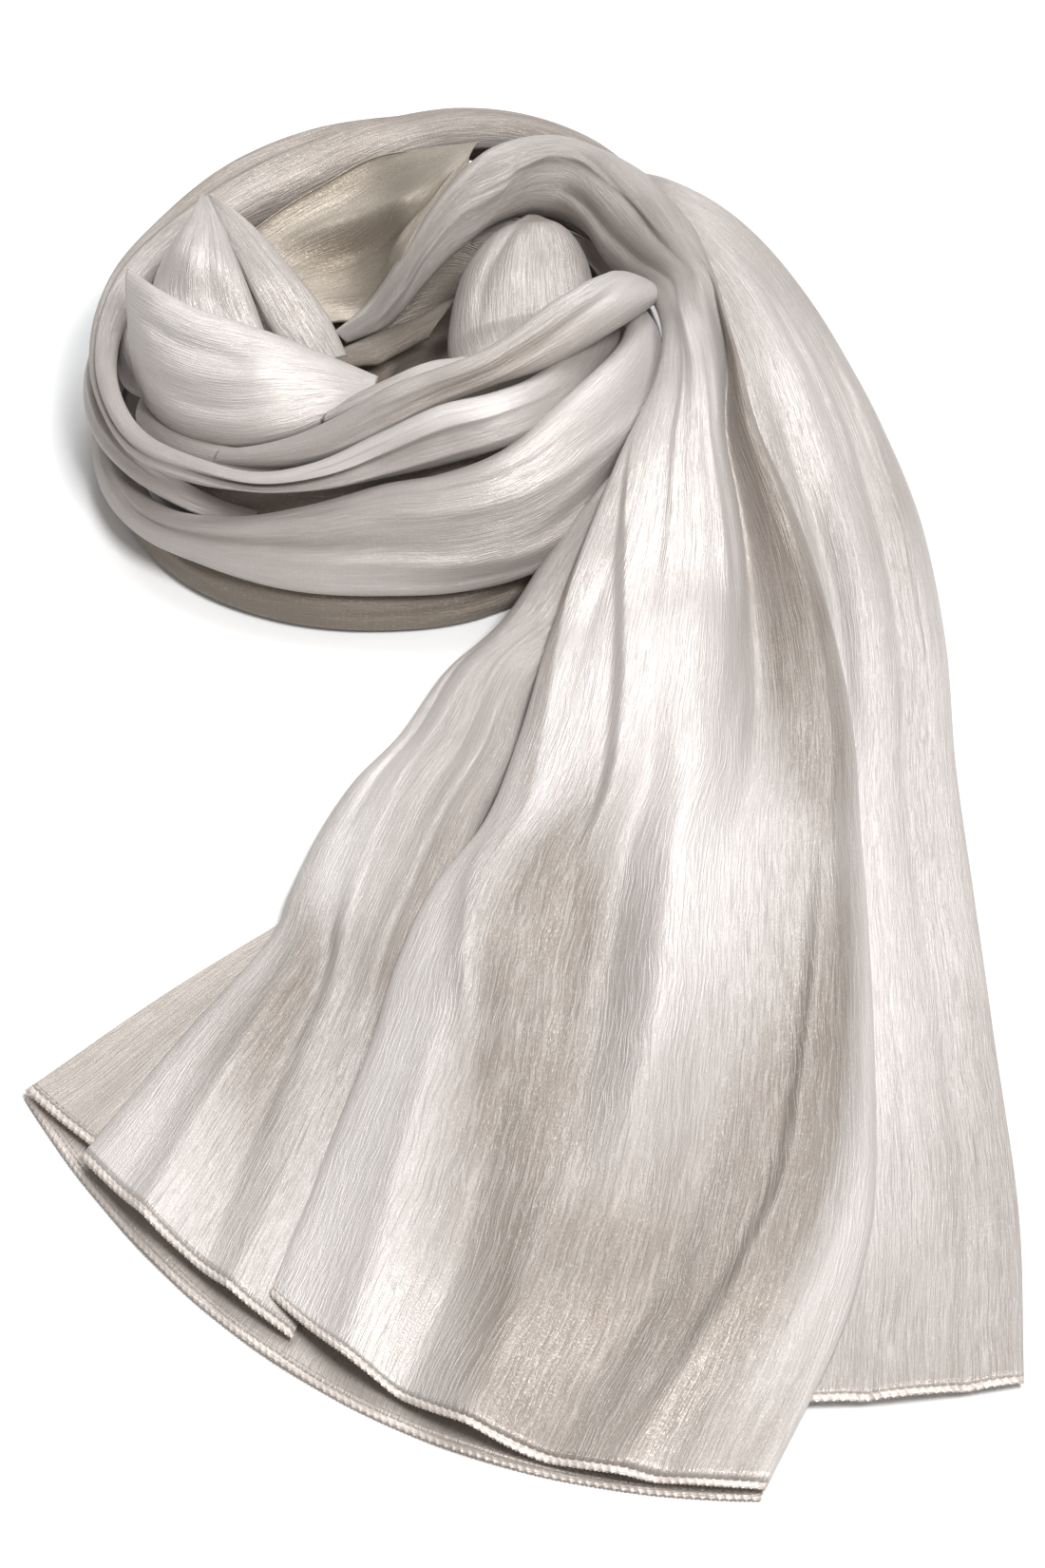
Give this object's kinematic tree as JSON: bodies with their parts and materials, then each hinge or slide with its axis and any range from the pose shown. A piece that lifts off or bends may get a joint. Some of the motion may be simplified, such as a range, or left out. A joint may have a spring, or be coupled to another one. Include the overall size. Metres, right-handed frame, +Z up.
{
  "type": "evening stole",
  "caption": "Sheer crinkled stole with rolled hems, lying on a surface: wound into a loose nest, with one end fanned out flat.",
  "frame": {"origin": "middle of the bounding box, on the surface that the stole lies on", "axes": "+Z up; the fanned end points towards -Y, the nest lies towards +Y"},
  "size_m": [0.3989, 0.7226, 0.1032],
  "materials": {
    "organza": "crinkled, sheer, satin sheen with fine metallic threads",
    "hem": "rolled and overstitched, soft sheen"
  },
  "bodies": {
    "root": {"coil_core": "organza", "base_turn": "organza", "wide_turn": "organza", "outer_turn": "organza", "upper_turn": "organza", "inner_roll": "organza", "rim_fold": "organza", "small_roll": "organza", "side_roll": "organza", "peak_b": "organza", "peak_a": "organza", "peak_strip": "organza", "back_drape": "organza", "pit_cloth": "organza", "dome": "organza", "hood": "organza", "arch": "organza", "tail_main": "organza", "tail_right": "organza", "tail_left": "organza", "tail_corner": "organza", "tail_under": "organza", "hem_main": "hem", "hem_right": "hem", "hem_left": "hem", "hem_corner": "hem", "hem_under": "hem"}
  },
  "joints": []
}
